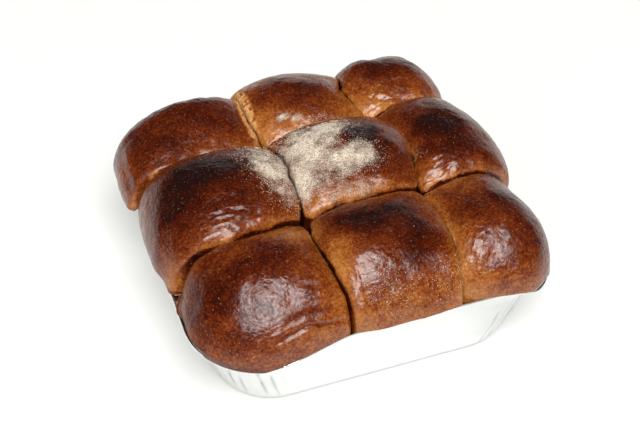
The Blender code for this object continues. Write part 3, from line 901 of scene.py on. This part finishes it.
def makePan():
    # the section carried round a square with rounded corners; in the corners the wall is pleated
    # by a wave of the angle whose valleys are sharp and lean as they climb
    section = np.array(panSection())
    half, radius, height, flute, flat, above = (section[:, k][:, None] for k in range(6))
    perCorner = pan["flutes"] * pan["flutePoints"]
    turn = np.arange(perCorner + 1) / perCorner
    step = (np.arange(pan["straightPoints"]) + 1) / (pan["straightPoints"] + 1)
    share = np.tile(np.concatenate((turn, np.ones(len(step)))), 4)
    along = np.tile(np.concatenate((np.zeros(len(turn)), step)), 4)
    corner = np.repeat(np.arange(4), len(turn) + len(step))
    angle = (corner + share) * math.pi / 2
    quarter = corner * math.pi / 2 + math.pi / 4
    phase = share * pan["flutes"] + pan["fluteLean"] * height / pan["depth"]
    wave = np.abs(np.sin(math.pi * phase)) ** 0.7
    fade = np.clip(np.minimum(share, 1 - share) * 8, 0, 1)
    signs, after = (np.sign(np.stack((np.cos(turned), np.sin(turned))))
                    for turned in (quarter, quarter + math.pi / 2))
    centre = (half - radius) * (signs + (after - signs) * along)[:, None]
    outward = np.stack((np.cos(angle), np.sin(angle), 0 * angle), -1)

    # the flange turns up about its hinge; its edge flattens where it is bent up
    lift = flangeLift(centre[0] + radius * outward[:, 0], centre[1] + radius * outward[:, 1])
    above = np.where(above > 0, above * np.cos(lift) ** 6, above)
    pleat = pan["fluteDepth"] * flute * wave * fade
    reach = radius + pleat + flat * np.cos(lift) - above * np.sin(lift)
    rise = height + flat * np.sin(lift) + above * np.cos(lift)
    points = np.stack((centre[0] + reach * outward[:, 0], centre[1] + reach * outward[:, 1], rise), -1)

    climb = rise / pan["depth"]
    wallShare = smoothStep(0.05, 0.3, climb) * smoothStep(1.0, 0.8, climb)
    # painted shade darkens the valleys between the flutes, in strokes of uneven length and strength
    plan = points * (1, 1, 0)
    strokes = layeredNoise(plan, 4.5 * mm, 2, 31.0) + 0.4 * softNoise(points, 14 * mm, 33.0)
    strokes = smoothStep(-0.45, 0.6, strokes)
    paintedFoilShade = (1 - wave) ** 1.6 * fade * np.minimum(flute, 1) * strokes
    # one corner is painted greyer as well, a painted dark reflection
    shade = spotField(points, pan["shadedCorner"])
    paintedFoilShade = paintedFoilShade * (1 + 0.8 * shade) + 0.34 * shade * np.minimum(flute, 1)
    # and painted shade makes a thin dark line round the foot
    outer = np.hypot(points[..., 0], points[..., 1]) > 60 * mm
    foot = smoothStep(2.7 * mm, 1.5 * mm, points[..., 2]) * outer
    paintedFoilShade = np.minimum(np.maximum(paintedFoilShade, foot * (0.85 + 0.3 * softNoise(plan, 12 * mm, 35.0))), 1)
    dent = pan["dent"] * layeredNoise(points * (1, 1, 0.6), pan["dentSize"], 3, 2.2)
    points = points + outward * (dent * wallShare)[..., None]
    rimShare = smoothStep(0.93, 1.0, climb)
    points[..., 2] += 0.15 * mm * layeredNoise(points, 9 * mm, 2, 8.8) * rimShare

    rows, count = points.shape[:2]
    ends = np.array(((0, 0, 0), (0, 0, pan["foil"])))
    vertices = np.concatenate((ends[:1], points.reshape(-1, 3), ends[1:]))
    faces = [face[::-1] for face in ringFaces(rows, count)]
    paintedFoilShade = np.concatenate(((0,), paintedFoilShade.ravel(), (0,)))
    piece = buildPiece("foilPan", vertices, faces, makeFoil(), {"paintedFoilShade": paintedFoilShade})
    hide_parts("foil_pan")
    print(f"foil pan: {len(vertices)} points")


makePan()


# Floor, light and camera
studio = {
    "floorHalf": 3.0,
    "floorColour": (0.56, 0.56, 0.55), "floorCloud": (0.55, 0.55, 0.54),
    "floorGlow": 0.20, "floorGlowColour": (1.0, 1.0, 0.90),  # light of its own, so that shadows stay faint
    # a painted pool of light: the floor darkens between these distances from a middle, to this share
    "floorMiddle": (0.076, 0.101, 0.0),
    "floorLightPool": (0.385, 1.25, 0.30),
    # the surroundings are dim, with a glow low down, so many degrees from the front to the right
    "surround": 0.04, "glow": 1.4, "glowTop": 0.26, "glowAzimuth": 138,
    # degrees from the front to the right, degrees above the floor, distance, size, power
    "lights": {
        "keyPanel": (-8, 57, 4.5, 3.3, 385.0),
        "leftFill": (-62, 38, 4.5, 3.3, 80.0),
    },
    "matteOnly": ("leftFill",),  # lights that shine on the bread but are not mirrored in its glaze
}
view = {"azimuth": -21.56, "elevation": 42.26, "roll": 2.20, "distance": 602 * mm, "lens": 59.1,
        "target": (-5.3 * mm, 2.1 * mm, 42.5 * mm)}


def makeFloor():
    # one square of paper with a painted pool of light, its brightness falling by a smooth step with the
    # distance from a middle
    material, tree, shader = newMaterial("paper")
    grain = rangeNode(tree, noiseNode(tree, 40.0, 3.0), 0.3, 0.7, 0, 1)
    colour = mixColours(tree, grain, studio["floorColour"], studio["floorCloud"])
    place = addNode(tree, "ShaderNodeTexCoord", {}).outputs["Object"]
    distance = addNode(tree, "ShaderNodeVectorMath", {0: place, 1: studio["floorMiddle"]},
                       {"operation": "DISTANCE"})
    near, far, least = studio["floorLightPool"]
    fade = rangeNode(tree, distance.outputs["Value"], near, far, 1, least, "SMOOTHSTEP")
    colour = mixColours(tree, fade, (0.0, 0.0, 0.0), colour)
    glow = mathNode(tree, "MULTIPLY", fade, studio["floorGlow"])
    fillInputs(tree, shader, {"Base Color": colour, "Roughness": 0.9, "Emission Strength": glow,
                              "Emission Color": studio["floorGlowColour"]})
    side = studio["floorHalf"]
    mesh = bpy.data.meshes.new("floor")
    corners = [(-side, -side, 0), (side, -side, 0), (side, side, 0), (-side, side, 0)]
    mesh.from_pydata(corners, [], [(0, 1, 2, 3)])
    mesh.materials.append(material)
    floor = newObject("floor", mesh)


def fromAngles(azimuth, elevation):
    # the direction that many degrees to the right of the front and above the floor
    a, e = math.radians(azimuth), math.radians(elevation)
    return np.array((math.sin(a) * math.cos(e), -math.cos(a) * math.cos(e), math.sin(e)))


def aimedMatrix(place, target, roll=0.0):
    # columns are right, up and back, so that minus Z looks from the place to the target
    back = place - target
    back /= np.linalg.norm(back)
    right = np.cross((0, 0, 1), back)
    right /= np.linalg.norm(right)
    up = np.cross(back, right)
    c, s = math.cos(roll), math.sin(roll)
    columns = (right * c + up * s, up * c - right * s, back, place)
    return Matrix([*zip(*columns), (0, 0, 0, 1)])


def makeStudio():
    # a dim sky with one low glow, and square lights aimed at the loaf
    scene = bpy.context.scene
    world = bpy.data.worlds.new("studio")
    world.use_nodes = True
    tree = world.node_tree
    direction = addNode(tree, "ShaderNodeTexCoord", {}).outputs["Generated"]
    split = addNode(tree, "ShaderNodeSeparateXYZ", {"Vector": direction})
    turn = math.radians(studio["glowAzimuth"])
    facing = addNode(tree, "ShaderNodeVectorMath",
                     {0: direction, 1: (math.sin(turn), -math.cos(turn), 0)}, {"operation": "DOT_PRODUCT"})
    low = rangeNode(tree, split.outputs["Z"], 0.05, studio["glowTop"], 1, 0, "SMOOTHSTEP")
    near = rangeNode(tree, facing.outputs["Value"], 0.60, 1.0, 0, studio["glow"], "SMOOTHSTEP")
    glow = mathNode(tree, "MULTIPLY_ADD", low, near, studio["surround"])
    fillInputs(tree, tree.nodes["Background"], {"Color": (1.0, 1.0, 1.0), "Strength": glow})
    scene.world = world
    target = np.array((0, 0, 60 * mm))
    for name, (azimuth, elevation, distance, size, power) in studio["lights"].items():
        place = target + distance * fromAngles(azimuth, elevation)
        lamp = bpy.data.lights.new(name, "AREA")
        lamp.shape = "SQUARE"
        lamp.size = size
        lamp.energy = power
        lampObject = newObject(name, lamp)
        lampObject.matrix_world = aimedMatrix(place, target)
        lampObject.visible_glossy = name not in studio["matteOnly"]
    scene.view_settings.view_transform = "Standard"


def makeCamera():
    # stands in a direction from its target and looks at it, turned a little about its own axis
    target = np.array(view["target"])
    place = target + fromAngles(view["azimuth"], view["elevation"]) * view["distance"]
    data = bpy.data.cameras.new("camera")
    data.lens = view["lens"]
    data.sensor_width = 36.0
    data.clip_start = 0.01
    camera = newObject("camera", data)
    camera.matrix_world = aimedMatrix(place, target, math.radians(view["roll"]))
    bpy.context.scene.camera = camera


makeFloor()
makeStudio()
makeCamera()
print("studio ready")
